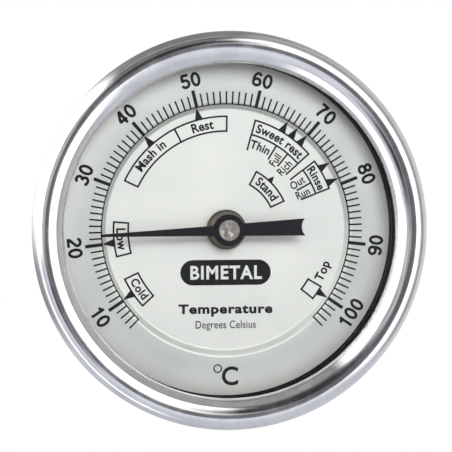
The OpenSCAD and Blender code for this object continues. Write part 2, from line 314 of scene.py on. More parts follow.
def bezel_metal():
    m = Nodes("bezel_polished", (0.86, 0.865, 0.88), 0.07, 1.0)
    lines = m.noise(m.polar(9.0, 9.0, 0.35), 1.0, 5.0, 0.62)
    haze = m.noise(m.scaled(0.16, 0.16, 0.16), 1.0, 4.0, 0.65)
    specks = m.noise(m.scaled(3.2, 3.2, 3.2), 1.0, 2.0, 0.5)
    m.tint(m.spread(haze, 0.0, 1.0, 0.35, 0.62), (0.80, 0.80, 0.81), (0.90, 0.905, 0.92))
    dull = m.math("MULTIPLY", m.spread(haze, 0.4, 1.0), m.spread(lines, 0.4, 1.0))
    m.rough(dull, 0.05, 0.17)
    relief = m.math("ADD", lines, m.math("MULTIPLY", m.spread(specks, 0, 1, 0.62, 0.72), 0.5))
    m.bump(relief, 0.16, 0.004)
    return m.material


def dial_metal():
    """Satin metal; the scale band beyond the sunken floor is painted darker as shade, and this
    painted shade fades out towards the rim, which paints the rim lighter against the lip's shadow.
    """
    m = Nodes("dial_satin", (0.76, 0.77, 0.74), 0.45, 0.90)
    grain = m.noise(m.scaled(14, 14, 14), 1.0, 3.0, 0.6)
    cloud = m.noise(m.scaled(0.07, 0.07, 0.07), 1.0, 2.0, 0.5)
    r = m.node("ShaderNodeSeparateXYZ", i0=m.polar(1.0, 1.0, 1.0)).outputs[0]
    # Painted shade: the dial is darker from 26.9 mm outwards, across the scale band.
    painted_shade_from = m.spread(r, 0.0, 0.7, 26.9, 27.5)
    # The painted shade fades out from 29.5 to 34 mm, so the rim is painted lighter against the
    # lip's own shadow.
    painted_shade_fade = m.spread(r, 1.0, 0.0, 29.5, 34.0)
    ring = m.math("MULTIPLY", painted_shade_from, painted_shade_fade)
    # Random cloudy tone, plus the painted shade of the scale band.
    tone_and_painted_shade = m.math("ADD", m.spread(cloud, 0.0, 0.3), ring)
    m.tint(tone_and_painted_shade, (0.79, 0.80, 0.77), (0.58, 0.60, 0.585))
    m.rough(grain, 0.46, 0.56)
    m.bump(grain, 0.25, 0.006)
    return m.material


def ink(name, colour=(0.005, 0.005, 0.006)):
    m = Nodes(name, colour, 0.38, Specular_IOR_Level=0.2)
    grain = m.noise(m.scaled(11, 11, 11), 1.0, 3.0, 0.6)
    m.tint(m.spread(grain, 0.0, 1.0), colour, tuple(c * 1.2 + 0.003 for c in colour))
    m.rough(grain, 0.30, 0.46)
    m.bump(grain, 0.2, 0.004)
    return m.material


def black_paint():
    m = Nodes("pointer_paint", (0.006, 0.006, 0.009), 0.33, Specular_IOR_Level=0.2)
    peel = m.noise(m.scaled(3.5, 3.5, 3.5), 1.0, 3.0, 0.55)
    m.tint(m.spread(peel, 0.0, 1.0), (0.005, 0.005, 0.008), (0.012, 0.011, 0.015))
    m.rough(peel, 0.26, 0.42)
    m.bump(peel, 0.2, 0.010)
    return m.material


def rubber():
    m = Nodes("black_rubber", (0.018, 0.018, 0.018), 0.6, Specular_IOR_Level=0.15)
    grain = m.noise(m.scaled(6, 6, 6), 1.0, 4.0, 0.6)
    m.tint(m.spread(grain, 0.0, 1.0), (0.012, 0.012, 0.012), (0.035, 0.034, 0.033))
    m.rough(grain, 0.5, 0.75)
    m.bump(grain, 0.35, 0.02)
    return m.material


def moulding(name, dark, light, low, high, shine=0.5):
    """Plastic or fibre with a fine even grain."""
    m = Nodes(name, dark, low, Specular_IOR_Level=shine)
    grain = m.noise(m.scaled(7, 7, 7), 1.0, 4.0, 0.6)
    m.tint(m.spread(grain, 0.0, 1.0), dark, light)
    m.rough(grain, low, high)
    m.bump(grain, 0.3, 0.012)
    return m.material


def rivet_metal():
    m = Nodes("rivet_hammered", (0.52, 0.45, 0.42), 0.3, 1.0)
    dents = m.noise(m.scaled(2.6, 2.6, 2.6), 1.0, 4.0, 0.6)
    stain = m.noise(m.scaled(1.1, 1.1, 1.1), 1.0, 2.0, 0.5)
    m.tint(m.spread(stain, 0.0, 1.0), (0.42, 0.35, 0.33), (0.66, 0.60, 0.57))
    m.rough(dents, 0.24, 0.42)
    m.bump(dents, 0.5, 0.05)
    return m.material


def glass():
    """Clear glass that lets the lamps through, with a trace of smear on its face."""
    m = Nodes("lens_clear", (0.985, 0.995, 0.99), 0.0, Transmission_Weight=1.0, IOR=1.46)
    smear = m.noise(m.scaled(0.09, 0.09, 0.09), 1.0, 3.0, 0.6)
    m.rough(smear, 0.0, 0.012)
    clear = m.tree.nodes.new("ShaderNodeBsdfTransparent")
    path = m.tree.nodes.new("ShaderNodeLightPath")
    mix = m.tree.nodes.new("ShaderNodeMixShader")
    links = m.tree.links
    links.new(path.outputs["Is Shadow Ray"], mix.inputs[0])
    links.new(m.shader.outputs[0], mix.inputs[1])
    links.new(clear.outputs[0], mix.inputs[2])
    links.new(mix.outputs[0], m.tree.nodes["Material Output"].inputs["Surface"])
    return m.material


STEEL = (0.66, 0.66, 0.65)
BEZEL = bezel_metal()
DIAL = dial_metal()
INK = ink("dial_ink")
PALE_INK = ink("plaque_ink", (0.80, 0.82, 0.78))
PAINT = black_paint()
RUBBER = rubber()
FITTING = turned_metal("fitting_turned", STEEL, 0.24)
NUT = turned_metal("nut_turned", (0.64, 0.64, 0.63), 0.27)
STEM = drawn_metal("stem_drawn", (0.68, 0.68, 0.67), 0.25)
CASE = turned_metal("case_satin", (0.67, 0.67, 0.66), 0.30, 6.0, 0.006)
SPRING = turned_metal("spring_dark", (0.33, 0.33, 0.35), 0.35)
BRASS = turned_metal("brass_dull", (0.22, 0.19, 0.145), 0.38, 8.0, 0.008)
STRIP = turned_metal("bimetal_rolled", (0.50, 0.45, 0.38), 0.35)
POLYMER = moulding("guide_polymer", (0.80, 0.80, 0.77), (0.88, 0.88, 0.86), 0.40, 0.55)
FIBRE = moulding("fibre_red", (0.16, 0.07, 0.05), (0.27, 0.13, 0.09), 0.6, 0.8)
SPACER = moulding("spacer_black", (0.006, 0.006, 0.007), (0.014, 0.014, 0.014), 0.75, 0.9, 0.05)
RIVET = rivet_metal()
GLASS = glass()

SLOT_MATERIAL = {
    "fitting_steel": FITTING,
    "stem_steel": STEM,
    "nut_steel": NUT,
    "case_steel": CASE,
    "polished_bezel": BEZEL,
    "spring_steel": SPRING,
    "bimetal_strip": STRIP,
    "brass_parts": BRASS,
    "guide_polymer": POLYMER,
    "fibre": FIBRE,
    "black_rubber": RUBBER,
    "black_spacer": SPACER,
    "lens_glass": GLASS,
    "dial_face": DIAL,
    "black_paint": PAINT,
    "rivet_metal": RIVET,
}
for part in frame["record"]["subparts"]:
    mesh = frame["nodes"][part["node"]].data
    mesh.materials.clear()
    mesh.materials.append(SLOT_MATERIAL[part["material_slot"]])

# ---------------------------------------------------------------- bezel and case

CROWN = front("bezel_ring")
HEM = back("bezel_ring")
BEZEL_R = radius("bezel_ring")
CUP_R = 39.3
SHEET = 0.8
FLANGE = front("case_cup")
CASE_BACK = back("case_cup")
ROUND = 2.8
LIP_R = 35.27


def bezel_outline():
    """The rolled sheet: hem, side, crown, inner roll, cone and lip, and back inside."""
    mid = BEZEL_R - ROUND
    foot = BEZEL_R - 0.5
    roll, bend = 5.2, math.radians(25)
    crease = (mid - roll * math.sin(bend), CROWN - roll + roll * math.cos(bend))
    slope = math.radians(40)
    end = (LIP_R + 0.72, crease[1] - (crease[0] - LIP_R - 0.72) * math.tan(slope))
    curl = 2.0
    cx, cy = end[0] + curl * math.sin(slope), end[1] - curl * math.cos(slope)
    outside = (
        arc(foot - 1, HEM + 1, 1, -90, 0, 8)
        + arc(mid, CROWN - ROUND, ROUND, 0, 90, 44)
        + arc(mid, CROWN - roll, roll, 92, 115, 12)
        + [(crease[0] - 0.12, crease[1] - 0.1), end]
        + arc(cx, cy, curl, 134, 178, 14)
    )
    low = outside[-1]
    inside = (
        arc(low[0] + 0.22, low[1], 0.22, 190, 300, 6)
        + [(low[0] + 0.55, low[1] + 0.25), (end[0] + 0.5, end[1] - 0.72)]
        + [(crease[0] + 0.4, crease[1] - 0.75)]
        + arc(mid, CROWN - ROUND, ROUND - SHEET, 90, 0, 16)
        + [(foot - SHEET, FLANGE), (foot - SHEET, HEM + SHEET), (CUP_R + 0.2, HEM + SHEET)]
    )
    return [(CUP_R + 0.2, HEM)] + outside + inside


lathe("bezel", bezel_outline(), BEZEL, "case", ["bezel_ring"], 288)


def case_outline():
    """The deep-drawn cup, with a shallow pressed ring in its back for stiffness."""
    inner = CUP_R - SHEET
    hole = 8.06
    ring_in, ring_out, lift = 19.0, 31.0, 0.35
    return rounded(
        [
            (hole, CASE_BACK, 0.15),
            (ring_in, CASE_BACK, 0.8),
            (ring_in + 0.9, CASE_BACK + lift, 0.8),
            (ring_out - 0.9, CASE_BACK + lift, 0.8),
            (ring_out, CASE_BACK, 0.8),
            (CUP_R, CASE_BACK, 3.0),
            (CUP_R, FLANGE - SHEET, 0.3),
            (BEZEL_R - 1.5, FLANGE - SHEET, 0.3),
            (BEZEL_R - 1.5, FLANGE, 0.3),
            (inner, FLANGE, 0.2),
            (inner, CASE_BACK + SHEET, 2.2),
            (ring_out, CASE_BACK + SHEET, 0.8),
            (ring_out - 0.9, CASE_BACK + SHEET + lift, 0.8),
            (ring_in + 0.9, CASE_BACK + SHEET + lift, 0.8),
            (ring_in, CASE_BACK + SHEET, 0.8),
            (hole, CASE_BACK + SHEET, 0.15),
        ],
        8,
    )


lathe("case_shell", case_outline(), CASE, "case", ["case_cup"], 256)

# ---------------------------------------------------------------- dial

DIAL_H = front("dial_plate")
DIAL_R = radius("dial_plate")
DIAL_T = 0.6
FLOOR_R = 25.7
FLOOR_H = DIAL_H - 1.1
RAMP_R = FLOOR_R + 1.2

dial_face = rounded(
    [
        (2.5, FLOOR_H, 0),
        (FLOOR_R, FLOOR_H, 0.6),
        (RAMP_R + 0.1, DIAL_H, 0.9),
        (DIAL_R, DIAL_H, 0.12),
        (DIAL_R, DIAL_H - 0.58, 0),
        (RAMP_R + 0.4, DIAL_H - 0.58, 0.5),
        (FLOOR_R + 0.35, FLOOR_H - DIAL_T, 0.5),
        (2.5, FLOOR_H - DIAL_T, 0),
    ],
    8,
)
dial = lathe("dial", dial_face, DIAL, "case", ["dial_plate"], 256, 50)
FACE = sorted((r, h) for r, h in dial_face[:20] if h >= FLOOR_H - 0.001)


def dial_h(x, y):
    """Height of the dial's face at a point."""
    r = math.hypot(x, y)
    for (r0, h0), (r1, h1) in zip(FACE, FACE[1:]):
        if r <= r1:
            t = 0 if r1 == r0 else max(0.0, (r - r0) / (r1 - r0))
            return h0 + (h1 - h0) * t
    return DIAL_H


def ink_top(x, y):
    return dial_h(x, y) + 0.025


def ink_base(x, y):
    return dial_h(x, y) - 0.04


def paler_top(x, y):
    return dial_h(x, y) + 0.045


# ---------------------------------------------------------------- dial print

SCALE_MIN = 6
SCALE_MAX = 104
TURN = 270 / (SCALE_MAX - SCALE_MIN)
ARC_R = 26.65


def turn_of(temperature):
    return 45 + (temperature - SCALE_MIN) * TURN


def polar_point(turn, r, across=0.0):
    d = heading(turn)
    return (d.x * r - d.y * across, d.y * r + d.x * across)


def cuts(r0, r1):
    """Radii from r0 to r1, close together where the dial bends."""
    bends = [r for r, _ in FACE if r0 < r < r1]
    return [r0, *bends, r1]


def ray(bm, turn, r0, r1, width, end=None):
    """A straight mark along a radius, of one width or tapering to another."""
    end = width if end is None else end
    rows = []
    for r in cuts(r0, r1):
        half = (width + (end - width) * (r - r0) / (r1 - r0)) / 2
        rows.append([polar_point(turn, r, -half), polar_point(turn, r, half)])
    slab(bm, rows, ink_top, ink_base)


def band(bm, r0, r1, start, end):
    """An arc of a line."""
    steps = max(4, int(abs(end - start) / 1.2))
    rows = []
    for i in range(steps + 1):
        turn = start + (end - start) * i / steps
        rows.append([polar_point(turn, r0), polar_point(turn, r1)])
    slab(bm, rows, ink_top, ink_base)


def frame_box(bm, start, end, r0, r1, width):
    """The outline of a field between two angles and two radii."""
    steps = max(6, int((end - start) / 1.2))

    def around(inset):
        a, b = r0 + inset, r1 - inset
        points = []
        for r, t0, t1 in ((b, start, end), (a, end, start)):
            skew = math.degrees(inset / r) * (1 if t1 > t0 else -1)
            for i in range(steps + 1):
                turn = t0 + skew + (t1 - t0 - 2 * skew) * i / steps
                points.append(polar_point(turn, r))
        return points

    slab(bm, list(zip(around(0), around(width))), ink_top, ink_base, True)


SPACER_OUT = radius("spacer_ring")
SPACER_LOW, SPACER_TOP = back("spacer_ring"), front("spacer_ring")
lathe(
    "spacer",
    [
        (36.0, SPACER_LOW),
        (SPACER_OUT, SPACER_LOW),
        (SPACER_OUT, SPACER_TOP),
        (36.05, SPACER_TOP),
        (35.98, SPACER_TOP - 0.1),
        (35.9, DIAL_H + 0.7),
        (35.38, DIAL_H + 0.3),
        (35.3, DIAL_H + 0.2),
        (35.3, DIAL_H + 0.03),
        (36.0, DIAL_H + 0.03),
    ],
    SPACER,
    "case",
    ["spacer_ring"],
)

bm = bmesh.new()
for t in range(SCALE_MIN, SCALE_MAX + 1):
    if t % 10:
        ray(bm, turn_of(t), ARC_R, 29.35, 0.35)
    else:
        ray(bm, turn_of(t), ARC_R, 30.35, 0.72)
band(bm, ARC_R - 0.12, ARC_R + 0.12, turn_of(SCALE_MIN) - 0.33, turn_of(SCALE_MAX) + 0.33)
settle(bm, "dial_scale", INK, "case")

ZONES = (
    (47.5, 64.7),
    (76.0, 94.6),
    (115.4, 153.3),
    (152.33, 181.1),
    (195.0, 228.8),
    (232.7, 249.5),
)
LINE = 0.38
bm = bmesh.new()
for start, end in ZONES:
    frame_box(bm, start, end, 20.7, 24.2, LINE)
frame_box(bm, 207.7, 245.5, 10.6, 14.1, LINE)
frame_box(bm, 300.6, 308.8, 20.7, 24.3, LINE)
for turn in (195.4, 211.7, 220.0, 228.4, 233.1, 242.0, 249.1):
    ray(bm, turn, 17.4, 20.8, LINE)
for t in (10, 20, 40, 50, 66, 68, 70, 76, 79, 100):
    ray(bm, turn_of(t), 24.05, 26.5, 1.7, 0.06)
ray(bm, 223.0, 13.9, 15.3, 1.4, 0.06)
settle(bm, "zone_frames", INK, "case")

# ---------------------------------------------------------------- lettering


def text_mesh(body, bold):
    curve = bpy.data.curves.new("letters", "FONT")
    curve.body = body
    curve.offset = bold
    curve.resolution_u = 5
    obj = bpy.data.objects.new("letters", curve)
    scene.collection.objects.link(obj)
    bpy.context.view_layer.update()
    mesh = bpy.data.meshes.new_from_object(
        obj.evaluated_get(bpy.context.evaluated_depsgraph_get())
    )
    corners = [(v.co.x, v.co.y) for v in mesh.vertices]
    faces = [tuple(p.vertices) for p in mesh.polygons]
    bpy.data.objects.remove(obj)
    bpy.data.curves.remove(curve)
    bpy.data.meshes.remove(mesh)
    return corners, faces


def text_width(body):
    xs = [x for x, _ in text_mesh(body, 0.0)[0]]
    return max(xs) - min(xs)


CAP = max(y for _, y in text_mesh("H", 0.0)[0])
PAIR = text_width("HH")
ADVANCE = {}
GLYPHS = {}


def advance(c):
    if c not in ADVANCE:
        ADVANCE[c] = text_width("H" + c + "H") - PAIR
    return ADVANCE[c]


def glyph(c, bold):
    """Corners, faces and outer edges of one character."""
    if (c, bold) not in GLYPHS:
        corners, faces = text_mesh(c, bold)
        seen, index = {}, []
        for x, y in corners:
            index.append(seen.setdefault((round(x, 5), round(y, 5)), len(seen)))
        faces = [tuple(index[k] for k in f) for f in faces]
        faces = [f for f in faces if len(set(f)) == len(f)]
        sides = {}
        for f in faces:
            for a, b in zip(f, f[1:] + f[:1]):
                sides[frozenset((a, b))] = sides.get(frozenset((a, b)), 0) + 1
        edges = [tuple(e) for e, n in sides.items() if n == 1]
        GLYPHS[c, bold] = (list(seen), faces, edges)
    return GLYPHS[c, bold]


def letter(bm, c, bold, to_dial, top):
    """One character as a thin closed solid; to_dial places its points on the dial."""
    corners, faces, edges = glyph(c, bold)
    flat = [to_dial(x, y) for x, y in corners]
    high = [bm.verts.new(place(x, y, top(x, y))) for x, y in flat]
    low = [bm.verts.new(place(x, y, ink_base(x, y))) for x, y in flat]
    for f in faces:
        bm.faces.new([high[k] for k in f])
        bm.faces.new([low[k] for k in reversed(f)])
    for a, b in edges:
        bm.faces.new((high[a], high[b], low[b], low[a]))


def straight(bm, body, centre, up, height, stretch=1.0, bold=0.03, gap=0.0, top=ink_top):
    """A word on a straight line, centred on a point, with its capitals' height."""
    size = height / CAP
    wide = size * stretch
    total = sum(advance(c) for c in body) * wide + gap * (len(body) - 1)
    up = Vector(up).normalized()
    along = Vector((up.y, -up.x))
    at = -total / 2
    for c in body:
        if c != " ":
            start = Vector(centre) + along * at - up * height / 2

            def to_dial(x, y, start=start):
                return tuple(start + along * (x * wide) + up * (y * size))

            letter(bm, c, bold, to_dial, top)
        at += advance(c) * wide + gap


def curved(bm, body, turn, r, height, outward, stretch=1.0, bold=0.03, gap=0.0):
    """A word whose characters stand on an arc of radius r through their middles."""
    size = height / CAP
    wide = size * stretch
    total = sum(advance(c) for c in body) * wide + gap * (len(body) - 1)
    way = 1 if outward else -1
    at = -total / 2
    for c in body:
        half = advance(c) * wide / 2
        up = heading(turn + way * math.degrees((at + half) / r)) * way
        along = Vector((up.y, -up.x))
        start = up * way * r - along * half - up * height / 2
        if c != " ":

            def to_dial(x, y, start=start, along=along, up=up):
                return tuple(start + along * (x * wide) + up * (y * size))

            letter(bm, c, bold, to_dial, ink_top)
        at += 2 * half + gap


def bow(cx, cy, rx, ry, start, end, steps=16):
    """Points of an elliptical arc, angles in degrees."""
    return [(cx + (x - cx) * rx, cy + (y - cy) * ry) for x, y in arc(cx, cy, 1, start, end, steps)]


SIX = [bow(0, 0.315, 0.245, 0.228, 0, 348, 29), bow(0.03, 0.49, 0.275, 0.423, 183, 40, 18)]
DIGITS = {
    "0": [bow(0, 0.5, 0.24, 0.412, 0, 350, 35)],
    "1": [[(0.08, 0.0), (0.08, 1.0)], [(-0.2, 0.755), (-0.06, 0.775), (0.04, 0.86)]],
    "2": [
        bow(0, 0.70, 0.235, 0.213, 172, -38) + [(-0.2, 0.19), (-0.21, 0.1)],
        [(-0.3, 0.088), (0.3, 0.088)],
    ],
    "3": [bow(-0.01, 0.712, 0.21, 0.2, 162, -86), bow(-0.01, 0.303, 0.245, 0.215, 90, -164)],
    "4": [[(0.12, 0.0), (0.12, 1.0)], [(0.09, 0.93), (-0.26, 0.34)], [(-0.31, 0.3), (0.3, 0.3)]],
    "5": [
        [(-0.19, 0.912), (0.27, 0.912)],
        [(-0.155, 0.95), (-0.2, 0.47)],
        bow(-0.01, 0.33, 0.25, 0.243, 138, -162),
    ],
    "6": SIX,
    "7": [
        [(-0.28, 0.912), (0.3, 0.912)],
        [(0.25, 0.9), (0.11, 0.7), (0.0, 0.45), (-0.06, 0.2), (-0.07, 0.0)],
    ],
    "8": [bow(0, 0.723, 0.205, 0.19, 0, 348, 29), bow(0, 0.303, 0.245, 0.216, 0, 348, 29)],
    "9": [[(-x, 1 - y) for x, y in line] for line in SIX],
}


def stroke(bm, line, half, to_dial, top):
    """A line of even width along points; a ring when the two ends nearly meet."""
    points = [Vector(p) for p in line]
    count = len(points)
    loop = count > 4 and (points[0] - points[-1]).length < 0.12
    rows = []
    for k, p in enumerate(points):
        before = points[k - 1] if k or loop else p
        after = points[(k + 1) % count] if k < count - 1 or loop else p
        a, b = (p - before).normalized(), (after - p).normalized()
        way = (a + b).normalized()
        reach = half / max(0.5, way.dot(b if b.length else a))
        side = Vector((-way.y, way.x)) * reach
        rows.append([to_dial(*(p + side)), to_dial(*(p - side))])
    slab(bm, rows, top, ink_base, loop)


bm = bmesh.new()
NUMERAL = 3.08
for t in range(10, 101, 10):
    d = heading(turn_of(t))
    up = -d if t in (10, 20, 90, 100) else d
    along = Vector((up.y, -up.x))
    text = str(t)
    for k, c in enumerate(text):
        centre = d * 32.55 + along * (k - (len(text) - 1) / 2) * NUMERAL * 0.74 - up * NUMERAL / 2

        def to_dial(x, y, centre=centre, along=along, up=up):
            return tuple(centre + (along * x + up * y) * NUMERAL)

        for line in DIGITS[c]:
            stroke(bm, line, 0.098, to_dial, ink_top)
settle(bm, "dial_numerals", INK, "case")

bm = bmesh.new()
words = (
    ("Cold", 56.0, 22.35, 1.7, False),
    ("Low", 85.4, 22.45, 1.85, False),
    ("Mash in", 134.3, 22.65, 1.8, True),
    ("Rest", 167.0, 22.5, 1.85, True),
    ("Sweet rest", 211.9, 22.5, 1.8, True),
    ("Rinse", 241.1, 22.45, 1.7, True),
    ("Stand", 226.5, 12.45, 1.8, True),
    ("Thin", 203.3, 19.0, 1.7, True),
    ("Top", 293.3, 22.85, 1.85, False),
)
for word, turn, r, height, outward in words:
    curved(bm, word, turn, r, height, outward, 0.94, 0.03, 0.08)
radial_words = (
    ("Full", 216.0, 18.2),
    ("Rich", 224.3, 18.2),
    ("Out", 237.7, 18.3),
    ("Run", 245.7, 18.3),
)
for word, turn, r in radial_words:
    d = heading(turn)
    straight(bm, word, d * r, (-d.y, d.x), 1.6, 0.84, 0.02, 0.04)
settle(bm, "zone_words", INK, "case")

bm = bmesh.new()
ring = [(-1.9 + x, -29.6 + y) for x, y in arc(0, 0, 0.95, 0, 337.5, 15)]
hole = [(-1.9 + x, -29.6 + y) for x, y in arc(0, 0, 0.68, 0, 337.5, 15)]
slab(bm, list(zip(ring, hole)), ink_top, ink_base, True)
straight(bm, "C", (0.75, -31.2), (0, 1), 3.75, 0.98, 0.02)
settle(bm, "unit_mark", INK, "case")


def pill(bm, cx, cy, width, height, top):
    """A filled bar with round ends."""
    r = height / 2
    x = width / 2 - r
    right = arc(cx + x, cy, r, -90, 90, 20)
    left = [(2 * cx - px, py) for px, py in right]
    slab(bm, list(zip(left, right)), top, ink_base)


bm = bmesh.new()
pill(bm, 0.0, -9.2, 19.5, 5.4, ink_top)
settle(bm, "plaque", INK, "case")
bm = bmesh.new()
straight(bm, "BIMETAL", (0, -9.2), (0, 1), 2.7, 0.92, 0.03, 0.25, paler_top)
settle(bm, "plaque_word", PALE_INK, "case")
bm = bmesh.new()
straight(bm, "Temperature", (0, -16.95), (0, 1), 1.85, 1.25, 0.04, 0.2)
straight(bm, "Degrees Celsius", (0, -20.3), (0, 1), 1.6, 0.82, 0.006, 0.04)
settle(bm, "dial_words", INK, "case")

# ---------------------------------------------------------------- pointer

BLADE_TOP = front("pointer_blade")
BLADE_LOW = back("pointer_blade")
REST_TURN = turn_of(21.6)
DISC_R = 3.4
NEEDLE = (1.18, 0.26, 27.3)
TAIL = (1.22, 1.82, 16.5)


def meeting(root, tip, length):
    """Where a straight taper leaves the disc."""
    x = 0.0
    while math.hypot(x, root + (tip - root) * x / length) < DISC_R:
        x += 0.01
    return x, root + (tip - root) * x / length


def blade(bm):
    """Needle, disc and tail in one thin plate; the tail ends in a hollow curve."""
    nx, ny = meeting(*NEEDLE)
    tx, ty = meeting(*TAIL)
    d = heading(REST_TURN)
    side = Vector((-d.y, d.x))
    notch_r, depth, columns_across = 2.6, 0.8, 16
    hollow = TAIL[2] + notch_r - depth

    def point(x, y):
        return tuple(d * x + side * y)

    rows = []
    steps = 24
    for i in range(steps):
        x = NEEDLE[2] + (nx - NEEDLE[2]) * i / steps
        w = NEEDLE[0] + (NEEDLE[1] - NEEDLE[0]) * x / NEEDLE[2]
        rows.append([(x, w * (2 * k / columns_across - 1)) for k in range(columns_across + 1)])
    start, end = math.atan2(ny, nx), math.pi - math.atan2(ty, tx)
    for i in range(37):
        t = start + (end - start) * i / 36
        x, w = DISC_R * math.cos(t), DISC_R * math.sin(t)
        rows.append([(x, w * (2 * k / columns_across - 1)) for k in range(columns_across + 1)])
    for i in range(1, 13):
        row = []
        for k in range(columns_across + 1):
            v = 2 * k / columns_across - 1
            limit = hollow - math.sqrt(notch_r**2 - (TAIL[1] * v) ** 2)
            x = tx + (limit - tx) * i / 12
            row.append((-x, v * (TAIL[0] + (TAIL[1] - TAIL[0]) * x / TAIL[2])))
        rows.append(row)
    grid = [[point(*p) for p in row] for row in rows]
    slab(bm, grid, lambda x, y: BLADE_TOP, lambda x, y: BLADE_LOW)
    bmesh.ops.recalc_face_normals(bm, faces=bm.faces)
    rim = [e for e in bm.edges if e.calc_face_angle(0) > 0.8]
    bmesh.ops.bevel(bm, geom=rim, offset=0.05 * MM, segments=2, affect="EDGES", profile=0.5)


bm = bmesh.new()
blade(bm)
settle(bm, "pointer", PAINT, "pointer", ["pointer_blade"], 20)

HUB_R = radius("pointer_hub")
HUB_LOW = back("pointer_hub")
SPINDLE_R = 0.81
hub = rounded(
    [
        (SPINDLE_R, HUB_LOW, 0),
        (1.7, HUB_LOW, 0.15),
        (1.7, FLOOR_H + 0.5, 0.1),
        (HUB_R, FLOOR_H + 0.5, 0.15),
        (HUB_R, FLOOR_H + 1.25, 0.18),
        (3.75, FLOOR_H + 1.75, 0.3),
        (3.55, FLOOR_H + 2.6, 0.3),
        (3.0, BLADE_LOW, 0.1),
        (SPINDLE_R, BLADE_LOW, 0),
    ],
    6,
)
lathe("hub", hub, BRASS, "pointer", ["pointer_hub"], 128)

RIVET_TOP = front("pointer_rivet")
RIVET_R = radius("pointer_rivet")
RIVET_LOW = back("pointer_rivet")


def hammered_rivet():
    """Upset head: a rolled rim, and a middle beaten into small facets."""
    random.seed(7)
    count, rings = 72, 14
    blows = [
        (random.uniform(-1.5, 1.5), random.uniform(-1.5, 1.5), random.uniform(0.3, 0.6))
        for _ in range(34)
    ]
    bm = bmesh.new()
    rows = []
    for i in range(rings + 1):
        r = RIVET_R * (0.93 - 0.93 * i / rings)
        row = []
        for k in range(count):
            a = 2 * math.pi * k / count
            x, y = r * math.cos(a), r * math.sin(a)
            dip = sum(
                0.055 * math.exp(-((x - bx) ** 2 + (y - by) ** 2) / (2 * s * s * 0.3))
                for bx, by, s in blows
            )
            fade = min(1.0, max(0.0, (RIVET_R * 0.86 - r) / 0.3))
            row.append((x, y, RIVET_TOP - 0.02 - min(dip, 0.16) * fade))
        rows.append(row)
    side = rounded(
        [
            (1.2, RIVET_LOW, 0),
            (1.2, BLADE_TOP, 0),
            (RIVET_R, BLADE_TOP + 0.02, 0.12),
            (RIVET_R, RIVET_TOP - 0.02, 0.26),
            (RIVET_R * 0.93, RIVET_TOP - 0.02, 0),
        ],
        6,
    )
    for r, h in side[:-1][::-1]:
        rows.insert(
            0,
            [
                (r * math.cos(2 * math.pi * k / count), r * math.sin(2 * math.pi * k / count), h)
                for k in range(count)
            ],
        )
    grid = [[bm.verts.new(place(*p)) for p in row] for row in rows]
    for one, two in zip(grid, grid[1:]):
        for k in range(count):
            m = (k + 1) % count
            bm.faces.new((one[k], one[m], two[m], two[k]))
    bm.faces.new(grid[0])
    settle(bm, "rivet", RIVET, "pointer", ["pointer_rivet"], 40)


hammered_rivet()

# ---------------------------------------------------------------- fitting

SHANK_R = 6.35
PITCH = 1.27
THREAD_DEPTH = 0.5413 * PITCH
ROOT_R = SHANK_R - THREAD_DEPTH
SHANK_END = back("connection_fitting")
THREAD_TOP = -2.85
THREAD_LOW = SHANK_END + 0.9
FLANGE_R = radius("connection_fitting")
FLANGE_H = 3.0
HEX_AF = 22.2
HEX_TOP = 10.4
BOSS_R = 8.0
BOSS_TOP = front("connection_fitting")


def hexagon(a, across_flats, corner):
    """Radius of a hexagon with slightly rounded corners, at an angle in radians."""
    step = math.pi / 3
    off = (a + step / 2) % step - step / 2
    r = across_flats / 2 / math.cos(off)
    limit = across_flats / math.sqrt(3) - corner
    return r if r < limit else limit + (r - limit) * 0.15


def hex_rows(a, across_flats, low, high, low_end, high_end):
    """The side of a hexagon whose corners are turned off at 30 degrees."""
    r = hexagon(a, across_flats, 0.22)
    start = across_flats / 2 - 0.25
    drop = (r - start) * math.tan(math.radians(30))
    rows = []
    if low_end:
        rows += [(start, low), (r, low + drop)]
    else:
        rows += [(r, low)]
    if high_end:
        rows += [(r, high - drop), (start, high)]
    else:
        rows += [(r, high)]
    return rows


def thread_rows(a):
    """One cut through the right-hand thread, from the relief down to the end."""
    rows = []
    shape = ((0.0, 0.0), (0.25, 0.0), (0.4375, 1.0), (0.5625, 1.0), (0.75, 0.0))
    turns = int((THREAD_TOP - THREAD_LOW) / PITCH) + 3
    for k in range(-2, turns):
        for part, lift in shape:
            h = THREAD_TOP - PITCH * (k + part) - PITCH * (1 - a / (2 * math.pi))
            fade = min(1.0, (THREAD_TOP - h) / 0.7, (h - THREAD_LOW) / 0.7)
            r = ROOT_R + THREAD_DEPTH * lift * max(0.0, fade)
            rows.append((r, min(max(h, THREAD_LOW), THREAD_TOP)))
    return rows


def fitting_column(a):
    groove_low, groove_top = 13.2, 14.2
    return (
        [(3.0, SHANK_END), (ROOT_R - 0.9, SHANK_END), (ROOT_R, THREAD_LOW)]
        + thread_rows(a)[::-1]
        + [
            (ROOT_R, -2.15),
            (SHANK_R, -1.9),
            (SHANK_R, 0.1),
            (7.3, 0.1),
            (7.4, 0.2),
            (7.4, 2.0),
            (10.6, 2.0),
            (10.6, 0.1),
            (10.7, 0.0),
            (FLANGE_R - 0.4, 0.0),
            (FLANGE_R - 0.12, 0.1),
            (FLANGE_R, 0.4),
            (FLANGE_R, FLANGE_H - 0.4),
            (FLANGE_R - 0.12, FLANGE_H - 0.1),
            (FLANGE_R - 0.4, FLANGE_H),
        ]
        + hex_rows(a, HEX_AF, FLANGE_H, HEX_TOP, False, True)
        + [
            (BOSS_R, HEX_TOP),
            (BOSS_R, groove_low),
            (7.4, groove_low),
            (7.4, groove_top),
            (BOSS_R, groove_top),
            (BOSS_R, BOSS_TOP - 0.5),
            (BOSS_R - 0.5, BOSS_TOP),
            (3.0, BOSS_TOP),
        ]
    )


